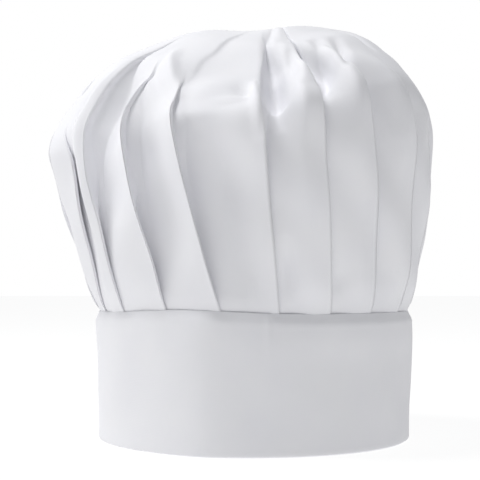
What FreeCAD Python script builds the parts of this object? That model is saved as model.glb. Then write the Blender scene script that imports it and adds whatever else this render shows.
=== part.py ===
"""Pleated chef's toque with an adjustable hook-and-loop closure, in millimetres.

A strip of white polycotton is folded double into a stiffened band. One round of the same cloth, laid in
twenty knife pleats, is sewn into the band's open top edge and stands up as a puffed crown. At the back the
band is open: one end runs on as a flap over the other end and is held by a hook strip on a loop strip.

Frame: the origin is the centre of the head opening in the plane of the rim, +Z is up, the front faces -Y
and the closure is at +Y. Angles are in degrees about +Z from +X. Cloth is drawn thicker than it is, so that
a light density gives the real weight.
"""

import FreeCAD
import Part

import math
import os

# ---- head opening and band
OPENING_RADIUS = 95.0      # inside of the band, for a head of 597 mm
BAND_HEIGHT = 80.0
PLY = 0.6                  # one ply of band cloth
CROWN_CLOTH = 1.0          # crown cloth, with its hidden pleat layers averaged in
LAYER_CLEARANCE = 0.2      # between layers that lie in the band's pocket
STIFFENER_TO_FOLD = 0.6    # from a folded end of the cloth to the stiffener in it
SEAM_ALLOWANCE = 10.0      # crown edge that is sewn in between the plies
STIFFENER_THICKNESS = 0.8

# ---- crown
HAT_HEIGHT = 258.0
WIDEST_HEIGHT = 180.0      # height above the rim where the crown is widest
WIDEST_RADIUS = 121.0
TOP_FLAT_RADIUS = 12.0     # flat at the very top
PLEATS = 20
FIRST_PLEAT_EDGE = -82.0   # angle of the pleat edge just right of the front centre
PLEAT_DEPTH = 5.5          # half the height of a pleat's step
PLEAT_EDGE_SHARE = 0.8     # where in a pleat its raised edge is
PLEAT_AT_BAND = 0.45       # share of the pleats' depth at the band
PLEAT_GROWTH = 1.2         # how fast they deepen up the flare
PLEAT_AT_WIDEST = 0.65     # share of their depth where the crown is widest
PLEAT_FADE = 1.3           # how early they flatten out over the dome
STRAIGHT_ABOVE_BAND = 5.0  # the crown rises straight this far before it flares
DOME_TURN = 76.0           # angle that the dome's curve turns through up to the flat
LEAN_AT_WIDEST = -9.0      # the crown sags to -X where it is widest
LEAN_AT_TOP = 10.0         # and its top sits to +X
SEAT_ROWS = 4              # rows of control points: in the seam, up the flare and over the dome
FLARE_ROWS = 6
DOME_ROWS = 7
POLES_PER_PLEAT = 8
CUBIC = 3                  # degree of the crown's surface
SEWING_TOLERANCE = 0.01    # for closing its faces into one shell

# ---- closure at the back
BACK = 90.0                # angle of the back centre
END_GAP = 5.0              # between the two band ends
HINGE_CLEARANCE = 0.3      # between the band end and the flap
FLAP_LENGTH = 56.0
FLAP_RAMP = 7.0            # length over which the flap steps out over the other end
FLAP_INSET = 0.5           # the flap is this much short of the band at its top and foot
FASTENER_THICKNESS = 1.0   # hook strip, and loop strip
FASTENER_GAP = 0.6         # pile between the two strips
FASTENER_HEIGHT = 64.0
HOOK_STRIP_LENGTH = 25.0
LOOP_STRIP_LENGTH = 74.0
STRIP_TO_EDGE = 5.0        # from a cloth edge to the strip next to it
VENT_HEIGHT = 52.0         # slit in the crown above the gap
VENT_TOP_WIDTH = 1.5

# ---- label and thread
LABEL_WIDTH = 36.0
LABEL_HEIGHT = 22.0
LABEL_THICKNESS = 0.25
LABEL_ANGLE = 48.0
LABEL_CENTRE_HEIGHT = 42.0
THREAD = 0.15              # how far a row of stitches stands proud
STITCH_ROW_WIDTH = 0.6
STITCH_TO_EDGE = 2.5       # from a cloth or strip edge to the stitches
STITCH_LENGTH = 2.4
STITCH_PITCH = 3.4
STITCH_RADIUS = 0.2
BARTACK_STITCHES = 6
BARTACK_PITCH = 0.55
BARTACK_WIDTH = 6.0

# ---- worked out from the above
POCKET = CROWN_CLOTH + 2 * LAYER_CLEARANCE
BAND_THICKNESS = 2 * PLY + POCKET
BAND_RADIUS = OPENING_RADIUS + BAND_THICKNESS
POCKET_RADIUS = OPENING_RADIUS + PLY
CROWN_SEAT_RADIUS = POCKET_RADIUS + LAYER_CLEARANCE + CROWN_CLOTH
LOOP_FACE = BAND_RADIUS + FASTENER_THICKNESS
HOOK_FACE = LOOP_FACE + FASTENER_GAP
FLAP_RADIUS = HOOK_FACE + FASTENER_THICKNESS
FLAP_TOP = BAND_HEIGHT - FLAP_INSET
STRIP_FOOT = (BAND_HEIGHT - FASTENER_HEIGHT) / 2
VENT_FOOT_WIDTH = END_GAP + 2 * (PLY + LAYER_CLEARANCE)   # the crown stops short of the folded band ends
STRIP_TOP = STRIP_FOOT + FASTENER_HEIGHT


def turn(length, radius):
    """The angle in degrees that an arc of that length takes at that radius."""
    return math.degrees(length / radius)


ROOT_END = BACK - turn(END_GAP / 2, BAND_RADIUS)      # band end that the flap is part of
UNDER_END = BACK + turn(END_GAP / 2, BAND_RADIUS)     # band end that lies under the flap
FLAP_START = ROOT_END + turn(HINGE_CLEARANCE, BAND_RADIUS)
FLAP_STEPPED = FLAP_START + turn(FLAP_RAMP, BAND_RADIUS)
FLAP_TIP = FLAP_START + turn(FLAP_LENGTH, FLAP_RADIUS)
HOOK_END = FLAP_TIP - turn(STRIP_TO_EDGE, FLAP_RADIUS)
HOOK_START = HOOK_END - turn(HOOK_STRIP_LENGTH, FLAP_RADIUS)
LOOP_START = UNDER_END + turn(STRIP_TO_EDGE, BAND_RADIUS)
LOOP_END = LOOP_START + turn(LOOP_STRIP_LENGTH, BAND_RADIUS)


def at(radius, angle, z=0.0):
    """A point given by its radius, angle and height."""
    a = math.radians(angle)
    return FreeCAD.Vector(radius * math.cos(a), radius * math.sin(a), z)


def arc(radius, start, end):
    """A level arc between two angles."""
    return Part.Arc(at(radius, start), at(radius, (start + end) / 2), at(radius, end)).toShape()


def line(a, b):
    return Part.LineSegment(a, b).toShape()


def upright(edges, foot, top):
    """The solid between two heights over a closed outline."""
    face = Part.Face(Part.Wire(edges))
    face.translate(FreeCAD.Vector(0, 0, foot))
    return face.extrude(FreeCAD.Vector(0, 0, top - foot))


def curved_bar(inner, outer, start, end, foot, top):
    """A piece of an upright ring, from one angle to another."""
    edges = [
        arc(inner, start, end),
        line(at(inner, end), at(outer, end)),
        arc(outer, end, start),
        line(at(outer, start), at(inner, start)),
    ]
    return upright(edges, foot, top)


def stitch_frame(inner, outer, start, end, foot, top, inset):
    """A rectangle of stitches on a curved strip, that far inside its edges."""
    turn_in = turn(inset, outer)
    turn_row = turn(inset + STITCH_ROW_WIDTH, outer)
    row = inset + STITCH_ROW_WIDTH
    whole = curved_bar(inner, outer, start + turn_in, end - turn_in, foot + inset, top - inset)
    middle = curved_bar(inner - 1, outer + 1, start + turn_row, end - turn_row, foot + row, top - row)
    return whole.cut(middle)


def stitch(a, b):
    """One stitch, half sunk into the cloth between two points on its surface."""
    return Part.makeCylinder(STITCH_RADIUS, a.distanceToPoint(b), a, b.sub(a))


# ---- band

def make_band():
    """The folded strip: two plies and the fold along the rim, open along the top for the crown."""
    start, end = UNDER_END, ROOT_END + 360
    whole = curved_bar(OPENING_RADIUS, BAND_RADIUS, start, end, 0, BAND_HEIGHT)
    hem = turn(PLY, POCKET_RADIUS)
    pocket = curved_bar(POCKET_RADIUS, POCKET_RADIUS + POCKET, start + hem, end - hem, PLY, BAND_HEIGHT)
    return whole.cut(pocket)


def make_band_stiffener():
    """The strip of buckram that fills the pocket below the crown's seam allowance."""
    hem = turn(PLY + STIFFENER_TO_FOLD, POCKET_RADIUS)
    inner = POCKET_RADIUS + (POCKET - STIFFENER_THICKNESS) / 2
    foot = PLY + LAYER_CLEARANCE
    top = BAND_HEIGHT - SEAM_ALLOWANCE - LAYER_CLEARANCE
    return curved_bar(inner, inner + STIFFENER_THICKNESS, UNDER_END + hem, ROOT_END + 360 - hem, foot, top)


# ---- crown

def crown_rows():
    """The crown's upright profile as (radius, height, pleat depth, lean), from its sewn edge to its top."""
    rows = []
    seat_foot = BAND_HEIGHT - SEAM_ALLOWANCE
    seat_top = BAND_HEIGHT + STRAIGHT_ABOVE_BAND
    for i in range(SEAT_ROWS):
        height = seat_foot + (seat_top - seat_foot) * i / (SEAT_ROWS - 1)
        rows.append((CROWN_SEAT_RADIUS, height, 0.0, 0.0))
    for i in range(1, FLARE_ROWS + 1):
        share = i / FLARE_ROWS
        swell = math.sin(share * math.pi / 2)
        radius = CROWN_SEAT_RADIUS + (WIDEST_RADIUS - CROWN_SEAT_RADIUS) * swell
        height = seat_top + (WIDEST_HEIGHT - seat_top) * share
        grown = min(1.0, PLEAT_AT_BAND + PLEAT_GROWTH * share)
        depth = PLEAT_DEPTH * grown * (1.0 - (1.0 - PLEAT_AT_WIDEST) * share)
        rows.append((radius, height, depth, LEAN_AT_WIDEST * swell))
    last = math.radians(DOME_TURN)
    for i in range(1, DOME_ROWS + 1):
        a = last * i / DOME_ROWS
        radius = WIDEST_RADIUS * math.cos(a)
        height = WIDEST_HEIGHT + (HAT_HEIGHT - WIDEST_HEIGHT) * math.sin(a) / math.sin(last)
        faded = max(0.0, math.cos(math.pi / 2 * i / DOME_ROWS)) ** PLEAT_FADE
        lean = LEAN_AT_WIDEST + (LEAN_AT_TOP - LEAN_AT_WIDEST) * (1 - math.cos(a))
        rows.append((radius, height, PLEAT_DEPTH * PLEAT_AT_WIDEST * faded, lean))
    rows.append((TOP_FLAT_RADIUS, HAT_HEIGHT, 0.0, rows[-1][3]))
    return rows


def pleat_wave(share):
    """Height of a pleat across its width, from -1 in the fold to 1 on the raised edge."""
    if share < PLEAT_EDGE_SHARE:
        return 2 * share / PLEAT_EDGE_SHARE - 1
    return 1 - 2 * (share - PLEAT_EDGE_SHARE) / (1 - PLEAT_EDGE_SHARE)


def crown_surface(inset):
    """The crown's smooth pleated surface, that far inside its outer face."""
    rows = crown_rows()
    columns = PLEATS * POLES_PER_PLEAT
    poles = []
    for c in range(columns):
        share = (c % POLES_PER_PLEAT) / POLES_PER_PLEAT
        angle = FIRST_PLEAT_EDGE + (c / POLES_PER_PLEAT - PLEAT_EDGE_SHARE) * 360 / PLEATS
        column = []
        for i, (radius, height, depth, lean) in enumerate(rows):
            below, above = rows[max(i - 1, 0)], rows[min(i + 1, len(rows) - 1)]
            run, rise = above[0] - below[0], above[1] - below[1]
            length = math.hypot(run, rise)
            r = radius + depth * pleat_wave(share) - inset * rise / length
            z = height + inset * run / length
            column.append(at(r, angle, z).add(FreeCAD.Vector(lean, 0, 0)))
        poles.append(column)
    around_knots = [float(k) for k in range(columns + 1)]
    upward_knots = [float(k) for k in range(len(rows) - CUBIC + 1)]
    around_mults = [1] * len(around_knots)
    upward_mults = [CUBIC + 1] + [1] * (len(upward_knots) - 2) + [CUBIC + 1]
    surface = Part.BSplineSurface()
    surface.buildFromPolesMultsKnots(
        poles, around_mults, upward_mults, around_knots, upward_knots, True, False, CUBIC, CUBIC)
    return surface.toShape()


def rim(skin, highest):
    """The level closed outline at the top or the foot of a crown surface."""
    level = [e for e in skin.Edges if e.BoundBox.ZLength < SEWING_TOLERANCE]
    level.sort(key=lambda e: e.BoundBox.ZMax)
    return Part.Wire([level[-1] if highest else level[0]])


def make_crown():
    """The pleated cloth as a shell, open at the foot, with the vent above the band's gap."""
    outer, inner = crown_surface(0.0), crown_surface(CROWN_CLOTH)
    edge = Part.Face([rim(outer, False), rim(inner, False)])
    tops = [Part.Face(rim(skin, True)) for skin in (outer, inner)]
    shell = Part.makeSolid(Part.makeShell([outer, inner, edge] + tops))
    shell.fix(SEWING_TOLERANCE, SEWING_TOLERANCE, SEWING_TOLERANCE)
    foot, top = BAND_HEIGHT - SEAM_ALLOWANCE - 1, BAND_HEIGHT + VENT_HEIGHT
    reach = WIDEST_RADIUS + 2 * PLEAT_DEPTH
    low, high = VENT_FOOT_WIDTH / 2, VENT_TOP_WIDTH / 2
    corners = [(-low, foot), (low, foot), (low, BAND_HEIGHT), (high, top), (-high, top), (-low, BAND_HEIGHT)]
    outline = [FreeCAD.Vector(x, OPENING_RADIUS / 2, z) for x, z in corners]
    slit = Part.Face(Part.makePolygon(outline + outline[:1])).extrude(FreeCAD.Vector(0, reach, 0))
    return shell.cut(slit)


# ---- closure flap

def flap_section(inset, tip_inset):
    """The flap seen from above: it leaves the band end, steps out over the other end and follows it round."""
    inner, outer = FLAP_RADIUS + inset, FLAP_RADIUS + BAND_THICKNESS - inset
    tip = FLAP_TIP - turn(tip_inset, FLAP_RADIUS)
    start = FLAP_START + turn(tip_inset, BAND_RADIUS)
    root_inner, root_outer = at(OPENING_RADIUS + inset, start), at(BAND_RADIUS - inset, start)
    return [
        line(root_inner, at(inner, FLAP_STEPPED)),
        arc(inner, FLAP_STEPPED, tip),
        line(at(inner, tip), at(outer, tip)),
        arc(outer, tip, FLAP_STEPPED),
        line(at(outer, FLAP_STEPPED), root_outer),
        line(root_outer, root_inner),
    ]


def make_closure_flap():
    """The free end of the band: two plies, folded along the foot and the tip."""
    whole = upright(flap_section(0.0, 0.0), FLAP_INSET, FLAP_TOP)
    pocket = upright(flap_section(PLY, PLY), FLAP_INSET + PLY, FLAP_TOP)
    return whole.cut(pocket)


def make_flap_stiffener():
    """Buckram inside the flap, on the stretch that lies on the fastener."""
    inner = FLAP_RADIUS + PLY + (POCKET - STIFFENER_THICKNESS) / 2
    tip = FLAP_TIP - turn(PLY + STIFFENER_TO_FOLD, FLAP_RADIUS)
    start = FLAP_STEPPED + turn(LAYER_CLEARANCE, FLAP_RADIUS)
    foot = FLAP_INSET + PLY + LAYER_CLEARANCE
    return curved_bar(inner, inner + STIFFENER_THICKNESS, start, tip, foot, FLAP_TOP - LAYER_CLEARANCE)


def make_hook_strip():
    return curved_bar(HOOK_FACE, FLAP_RADIUS, HOOK_START, HOOK_END, STRIP_FOOT, STRIP_TOP)


def make_loop_strip():
    return curved_bar(BAND_RADIUS, LOOP_FACE, LOOP_START, LOOP_END, STRIP_FOOT, STRIP_TOP)


# ---- label

LABEL_START = LABEL_ANGLE - turn(LABEL_WIDTH / 2, OPENING_RADIUS)
LABEL_STOP = LABEL_ANGLE + turn(LABEL_WIDTH / 2, OPENING_RADIUS)
LABEL_FOOT = LABEL_CENTRE_HEIGHT - LABEL_HEIGHT / 2
LABEL_TOP = LABEL_FOOT + LABEL_HEIGHT
LABEL_FACE = OPENING_RADIUS - LABEL_THICKNESS


def make_care_label():
    """The blank woven label, sewn flat inside the band."""
    return curved_bar(LABEL_FACE, OPENING_RADIUS, LABEL_START, LABEL_STOP, LABEL_FOOT, LABEL_TOP)


# ---- thread

def make_crown_seam_thread():
    """The row that closes the band on the crown, seen on the inner ply."""
    top = BAND_HEIGHT - STITCH_TO_EDGE
    start = UNDER_END + turn(STITCH_TO_EDGE, OPENING_RADIUS)
    end = ROOT_END + 360 - turn(STITCH_TO_EDGE, OPENING_RADIUS)
    return curved_bar(OPENING_RADIUS - THREAD, OPENING_RADIUS, start, end, top - STITCH_ROW_WIDTH, top)


def make_hook_strip_thread():
    """A rectangle on the hook strip, and the same one where it comes through the flap."""
    strip = (HOOK_START, HOOK_END, STRIP_FOOT, STRIP_TOP, STITCH_TO_EDGE)
    outside = FLAP_RADIUS + BAND_THICKNESS
    return Part.makeCompound([
        stitch_frame(HOOK_FACE - THREAD, HOOK_FACE, *strip),
        stitch_frame(outside, outside + THREAD, *strip),
    ])


def make_loop_strip_thread():
    """A rectangle on the loop strip, and the same one where it comes through the band."""
    strip = (LOOP_START, LOOP_END, STRIP_FOOT, STRIP_TOP, STITCH_TO_EDGE)
    return Part.makeCompound([
        stitch_frame(LOOP_FACE, LOOP_FACE + THREAD, *strip),
        stitch_frame(OPENING_RADIUS - THREAD, OPENING_RADIUS, *strip),
    ])


def make_flap_edge_thread():
    """The row that closes the flap's open top edge, on its outer face."""
    outside = FLAP_RADIUS + BAND_THICKNESS
    top = FLAP_TOP - STITCH_TO_EDGE
    end = FLAP_TIP - turn(STITCH_TO_EDGE, outside)
    return curved_bar(outside, outside + THREAD, FLAP_STEPPED, end, top - STITCH_ROW_WIDTH, top)


def make_label_thread():
    """The two short rows that hold the label's ends."""
    inset = turn(STITCH_TO_EDGE, LABEL_FACE)
    width = turn(STITCH_ROW_WIDTH, LABEL_FACE)
    foot, top = LABEL_FOOT + STITCH_ROW_WIDTH, LABEL_TOP - STITCH_ROW_WIDTH
    inner = LABEL_FACE - THREAD
    return Part.makeCompound([
        curved_bar(inner, LABEL_FACE, LABEL_START + inset, LABEL_START + inset + width, foot, top),
        curved_bar(inner, LABEL_FACE, LABEL_STOP - inset - width, LABEL_STOP - inset, foot, top),
    ])


def on_crown(crown, x, z):
    """The point on the crown's outer face behind the head, at that x and height."""
    reach = WIDEST_RADIUS + 3 * PLEAT_DEPTH
    probe = line(FreeCAD.Vector(x, OPENING_RADIUS / 2, z), FreeCAD.Vector(x, reach, z))
    inside = probe.common(crown)
    return max((v.Point for v in inside.Vertexes), key=lambda p: p.y)


def make_vent_hem_thread(crown):
    """A row of stitches along each side of the vent."""
    stitches = []
    first = BAND_HEIGHT + STITCH_TO_EDGE
    for i in range(int((VENT_HEIGHT - STITCH_TO_EDGE) / STITCH_PITCH)):
        ends = []
        for z in (first + i * STITCH_PITCH, first + i * STITCH_PITCH + STITCH_LENGTH):
            share = (z - BAND_HEIGHT) / VENT_HEIGHT
            edge = (VENT_FOOT_WIDTH + (VENT_TOP_WIDTH - VENT_FOOT_WIDTH) * share) / 2
            ends.append((edge + STITCH_TO_EDGE, z))
        for side in (-1, 1):
            stitches.append(stitch(*(on_crown(crown, side * x, z) for x, z in ends)))
    return Part.makeCompound(stitches)


def make_vent_bartack(crown):
    """The close stitches across the top of the vent that stop it tearing."""
    stitches = []
    for i in range(BARTACK_STITCHES):
        z = BAND_HEIGHT + VENT_HEIGHT + STITCH_RADIUS + (i + 0.5) * BARTACK_PITCH
        ends = [on_crown(crown, side * BARTACK_WIDTH / 2, z) for side in (-1, 1)]
        stitches.append(stitch(*ends))
    return Part.makeCompound(stitches)


# ---- write the parts

os.makedirs("parts", exist_ok=True)
crown = make_crown()
parts = {
    "band": make_band(),
    "band_stiffener": make_band_stiffener(),
    "crown": crown,
    "loop_strip": make_loop_strip(),
    "care_label": make_care_label(),
    "crown_seam_thread": make_crown_seam_thread(),
    "loop_strip_thread": make_loop_strip_thread(),
    "label_thread": make_label_thread(),
    "vent_hem_thread": make_vent_hem_thread(crown),
    "vent_bartack": make_vent_bartack(crown),
    "closure_flap": make_closure_flap(),
    "flap_stiffener": make_flap_stiffener(),
    "hook_strip": make_hook_strip(),
    "hook_strip_thread": make_hook_strip_thread(),
    "flap_edge_thread": make_flap_edge_thread(),
}
for name, shape in parts.items():
    print(f"{name}: {len(shape.Solids)} solid(s), {shape.Volume:.1f} mm3, valid {shape.isValid()}")
    shape.exportStep(f"parts/{name}.step")
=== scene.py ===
"""A pleated chef's toque: cloth, thread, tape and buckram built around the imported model, in metres.

Angles are counted about +Z from the front of the hat (-Y) towards +X, so +X is at 90 degrees and the
closure at the back is at 180.
"""

import math

import bmesh
import bpy
import numpy as np
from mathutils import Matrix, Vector
from mathutils.bvhtree import BVHTree


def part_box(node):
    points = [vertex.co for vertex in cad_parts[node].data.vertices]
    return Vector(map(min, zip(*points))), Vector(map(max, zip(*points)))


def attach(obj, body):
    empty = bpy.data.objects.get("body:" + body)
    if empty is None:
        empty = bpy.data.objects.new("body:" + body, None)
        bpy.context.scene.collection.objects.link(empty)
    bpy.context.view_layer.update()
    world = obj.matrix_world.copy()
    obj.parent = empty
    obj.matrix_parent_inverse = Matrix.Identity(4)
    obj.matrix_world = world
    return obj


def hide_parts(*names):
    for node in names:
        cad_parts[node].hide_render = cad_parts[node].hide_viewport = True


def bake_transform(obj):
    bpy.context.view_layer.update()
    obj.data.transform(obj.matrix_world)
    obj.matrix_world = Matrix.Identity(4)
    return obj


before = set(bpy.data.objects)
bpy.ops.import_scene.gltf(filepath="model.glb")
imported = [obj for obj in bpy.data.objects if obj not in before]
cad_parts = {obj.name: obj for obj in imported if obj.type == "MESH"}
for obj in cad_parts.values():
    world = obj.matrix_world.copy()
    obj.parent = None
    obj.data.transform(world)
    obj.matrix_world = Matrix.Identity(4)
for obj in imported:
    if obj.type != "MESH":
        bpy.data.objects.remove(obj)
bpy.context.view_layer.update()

# ---------------------------------------------------------------- camera
# A long lens a little over seven tenths of a metre away, just above the seam and tipped up by two degrees.

camera_data = bpy.data.cameras.new("camera")
camera_data.lens = 84.5
camera_data.sensor_width = 36.0
camera = bpy.data.objects.new("camera", camera_data)
camera.location = (-0.0087, -0.724, 0.099)
camera.rotation_euler = (math.radians(92.0), 0.0, 0.0)
bpy.context.scene.collection.objects.link(camera)
bpy.context.scene.camera = camera

# ---------------------------------------------------------------- band
# One strip of white polycotton poplin, cut 612 by 180 mm and pressed double along the rim. Its edges are
# turned in, and the long ones are closed on the crown. Filled with buckram it stands upright, but it is soft
# enough to stand in a few flat stretches and to swell over the seam inside its top.

CLOTH = 0.00034                  # thickness of the poplin
TURNED_IN = 0.009
FOLD_RADIUS = 0.0011             # of the turned-in edge along the top
END_GAP = 0.005                  # between the band's ends at the back
FLARE = 0.0014                   # how far the outer ply leans out from the rim up to the seam
SEAM_SWELL = 0.0008              # and stands out over the seam inside it
SWELL_HEIGHT = 0.067
SWELL_SPREAD = 0.012
SHOULDER_IN = 0.0020             # how far it draws in again over the last millimetres
SHOULDER_REACH = 0.006
PUCKER = 0.00024                 # small puckers that the seam leaves below it
PUCKER_SIZE = 0.016
DENT = 0.00042                   # soft dents all over the outer ply
DENT_SIZE = 0.055
DENT_FADE = 0.03                 # from the rim and from the top
INNER_EDGE = 0.00022             # how far the turned-in edge shows through
FRONT_CREASE = 0.0006            # a short crease down from the seam
AIR = 0.0001                     # between layers that lie on each other
# The soft bends between the band's flat stretches, as (degrees, metres outwards, degrees of spread).
BENDS = [(-17.0, 0.0022, 8.0), (-76.0, 0.0006, 12.0), (47.0, 0.0009, 16.0), (96.0, 0.0007, 14.0)]

band_low, band_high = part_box("band")
BAND_RADIUS = band_high.x
BAND_TOP = band_high.z
OPENING_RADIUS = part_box("crown_seam_thread")[1].x
BAND_MIDDLE = (BAND_RADIUS + OPENING_RADIUS) / 2
PLY_OUT = (BAND_RADIUS - OPENING_RADIUS - CLOTH) / 2      # from the middle of the band to that of a ply


def smooth(x):
    """0 below 0, 1 above 1, and an even slope between."""
    x = np.clip(x, 0.0, 1.0)
    return x * x * (3.0 - 2.0 * x)


def ripple(x, y, size, seed):
    """An even, seamless field of soft dents between about -1 and 1; x, y and size are in metres."""
    draw = np.random.default_rng(seed)
    total = np.zeros(np.broadcast(x, y).shape)
    for _ in range(9):
        way, shift = draw.uniform(0, math.tau), draw.uniform(0, math.tau)
        pace = math.tau / (size * draw.uniform(0.7, 1.5))
        total += np.sin(pace * (x * math.cos(way) + y * math.sin(way)) + shift)
    return total / 3.0


def apart(angle, degrees):
    """How far angles in radians are from one in degrees, the short way round, in degrees."""
    return (np.degrees(angle) - degrees + 180.0) % 360.0 - 180.0


def sway(angle):
    """How far the whole band stands outwards of a true round."""
    return sum(out / np.cosh(apart(angle, at) / spread) for at, out, spread in BENDS)


def seam_wave(angle):
    """How far the seam runs above its even height: the front left is drawn up a little."""
    return 0.0023 * np.exp(-(apart(angle, -24.0) / 24.0) ** 2) - 0.0003


def piece(name, points, faces, flat, material):
    """A mesh object from points and faces, with its flat cut in metres as its UV map."""
    mesh = bpy.data.meshes.new(name)
    mesh.from_pydata([tuple(p) for p in points], [], faces)
    layer = mesh.uv_layers.new(name="cut")
    corners = np.zeros(len(mesh.loops), int)
    mesh.loops.foreach_get("vertex_index", corners)
    layer.data.foreach_set("uv", np.asarray(flat, float)[corners].ravel())
    mesh.shade_smooth()
    mesh.materials.append(material)
    made = bpy.data.objects.new(name, mesh)
    bpy.context.scene.collection.objects.link(made)
    return made


def grid_faces(rows, columns, closed=False, first=0):
    """Quads of a grid of points, with its last column joined to its first where it is closed."""
    last_column = columns if closed else columns - 1
    return [(first + r * columns + c, first + r * columns + (c + 1) % columns,
             first + (r + 1) * columns + (c + 1) % columns, first + (r + 1) * columns + c)
            for r in range(rows - 1) for c in range(last_column)]


def apply(made, kind, **settings):
    """Puts a modifier on a piece and applies it to its mesh."""
    modifier = made.modifiers.new(kind.lower(), kind)
    for key, value in settings.items():
        setattr(modifier, key, value)
    with bpy.context.temp_override(object=made, active_object=made, selected_objects=[made]):
        bpy.ops.object.modifier_apply(modifier=modifier.name)
    return made


def run_of(points):
    """The length along a line of points, up to each of them."""
    return np.concatenate([[0.0], np.cumsum(np.linalg.norm(np.diff(points, axis=0), axis=1))])


def folded_section(height):
    """Across a strip folded double, from one turned-in edge over the outer face, round the fold and up the
    inner face to the other edge, as (out of the middle, up)."""
    inside = PLY_OUT - CLOTH - AIR
    half = [(inside, height - TURNED_IN), (inside, height - TURNED_IN / 2), (inside, height - FOLD_RADIUS),
            ((inside + PLY_OUT) / 2 - AIR, height - CLOTH / 2), (PLY_OUT - AIR, height - FOLD_RADIUS / 2)]
    half += [(PLY_OUT, u) for u in np.linspace(height - FOLD_RADIUS, PLY_OUT + CLOTH / 2, 44)]
    around = np.radians(np.linspace(0, 90, 5))[1:]
    half += [(PLY_OUT * math.cos(v), PLY_OUT * (1 - math.sin(v)) + CLOTH / 2) for v in around]
    return np.array(half + [(-out, up) for out, up in half[-2::-1]])


def folded_strip(name, angles, radii, foot, top, soften):
    """A strip folded double that stands along a level line, with its ends closed. soften(angle, out, height)
    gives how far each point stands out and up from its even place."""
    line = np.stack([radii * np.sin(angles), -radii * np.cos(angles)], 1)
    run = run_of(line)
    along = np.gradient(line, run, axis=0)
    outward = np.stack([along[:, 1], -along[:, 0]], 1)
    outward /= np.linalg.norm(outward, axis=1)[:, None]
    from_end = np.clip(np.minimum(run, run[-1] - run) / PLY_OUT, 0.0, 1.0)
    filled = np.sqrt(1.0 - (1.0 - from_end) ** 2)
    section = folded_section(top - foot)
    across = run_of(section)
    points, flat = [], []
    for (out, up), width in zip(section, across):
        more_out, more_up = soften(angles, out, foot + up)
        reach = (out * filled + more_out)[:, None]
        points.append(np.column_stack([line + outward * reach, np.full(len(run), foot + up) + more_up]))
        flat.append(np.column_stack([run, np.full(len(run), width)]))
    made = piece(name, np.vstack(points), grid_faces(len(section), len(run)), np.vstack(flat), poplin)
    return apply(made, "SOLIDIFY", thickness=CLOTH, offset=0.0)


def soften_band(angle, out, height):
    """The band's flat stretches, the swell over the seam, the puckers under it and a few soft dents."""
    to_front = smooth((120.0 - np.abs(apart(angle, 0.0))) / 30.0)
    outer = smooth(out / PLY_OUT)
    over_seam = math.exp(-((height - SWELL_HEIGHT) / SWELL_SPREAD) ** 2)
    swell = FLARE * smooth(height / SWELL_HEIGHT) + SEAM_SWELL * over_seam
    drawn_in = SHOULDER_IN * smooth((height - BAND_TOP + SHOULDER_REACH) / SHOULDER_REACH)
    length = angle * BAND_RADIUS
    below_seam = math.exp(-(BAND_TOP - height) / PUCKER_SIZE)
    pucker = PUCKER * ripple(length, height * 0.35, PUCKER_SIZE, 11) * below_seam
    dents = DENT * ripple(length, height, DENT_SIZE, 4) * smooth(height / DENT_FADE)
    dents = dents * smooth((BAND_TOP - height) / DENT_FADE)
    inner_edge = INNER_EDGE * math.exp(-((height - BAND_TOP + 0.0065) / 0.0011) ** 2) * to_front
    crease = FRONT_CREASE * np.exp(-(apart(angle, 4.0) / 0.9) ** 2)
    crease = crease * smooth((height - BAND_TOP + 0.03) / 0.02)
    more_out = sway(angle) + to_front * (dents + outer * (swell - drawn_in + pucker + inner_edge + crease))
    more_up = seam_wave(angle) * smooth((height - 0.03) / (BAND_TOP - 0.035))
    return more_out, more_up


def linear(hex_colour):
    """An sRGB hex colour as linear red, green, blue and alpha."""
    parts = [int(hex_colour[i:i + 2], 16) / 255 for i in (1, 3, 5)]
    return [p / 12.92 if p <= 0.04045 else ((p + 0.055) / 1.055) ** 2.4 for p in parts] + [1.0]


def add_node(owner, kind, settings=None, inputs=None, links=None):
    """Adds one node to a material or world: settings on the node, values on its inputs, and links from other
    nodes' outputs."""
    made = owner.node_tree.nodes.new("ShaderNode" + kind)
    for key, value in (settings or {}).items():
        setattr(made, key, value)
    for key, value in (inputs or {}).items():
        made.inputs[key].default_value = value
    for key, (source, output) in (links or {}).items():
        owner.node_tree.links.new(source.outputs[output], made.inputs[key])
    return made


def new_material(name):
    material = bpy.data.materials.new(name)
    material.use_nodes = True
    material.node_tree.nodes.clear()
    return material


WAVE_PERIOD = 0.3142             # of a wave texture at a scale of 1, in metres
WEAVE = 0.0009                   # from thread to thread, as it is drawn


def finish_cloth(material, tone_and_shade_by, colours, raised_by, relief, surface, below=None):
    """Ends a cloth's material: one pattern mixes its two colours, one raises it by relief, as (strength,
    metres), over the bump below it, and surface holds the shader's own values. Where one pattern does both,
    its darker colour in the grooves is painted shade; a pattern of its own, as on the poplin, gives a random
    tone."""
    # Where the pattern that mixes the colours is the one that raises the cloth, the darker colour is painted
    # shade in the grooves.
    tone_and_shade = add_node(material, "Mix", {"data_type": "RGBA"},
                    {"A": linear(colours[0]), "B": linear(colours[1])}, {"Factor": tone_and_shade_by})
    bumps = {"Height": raised_by}
    if below:
        bumps["Normal"] = (below, "Normal")
    bump = add_node(material, "Bump", None, {"Strength": relief[0], "Distance": relief[1]}, bumps)
    shader = add_node(material, "BsdfPrincipled", None, surface,
                      {"Base Color": (tone_and_shade, "Result"), "Normal": (bump, "Normal")})
    add_node(material, "OutputMaterial", links={"Surface": (shader, "BSDF")})
    return material


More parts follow.
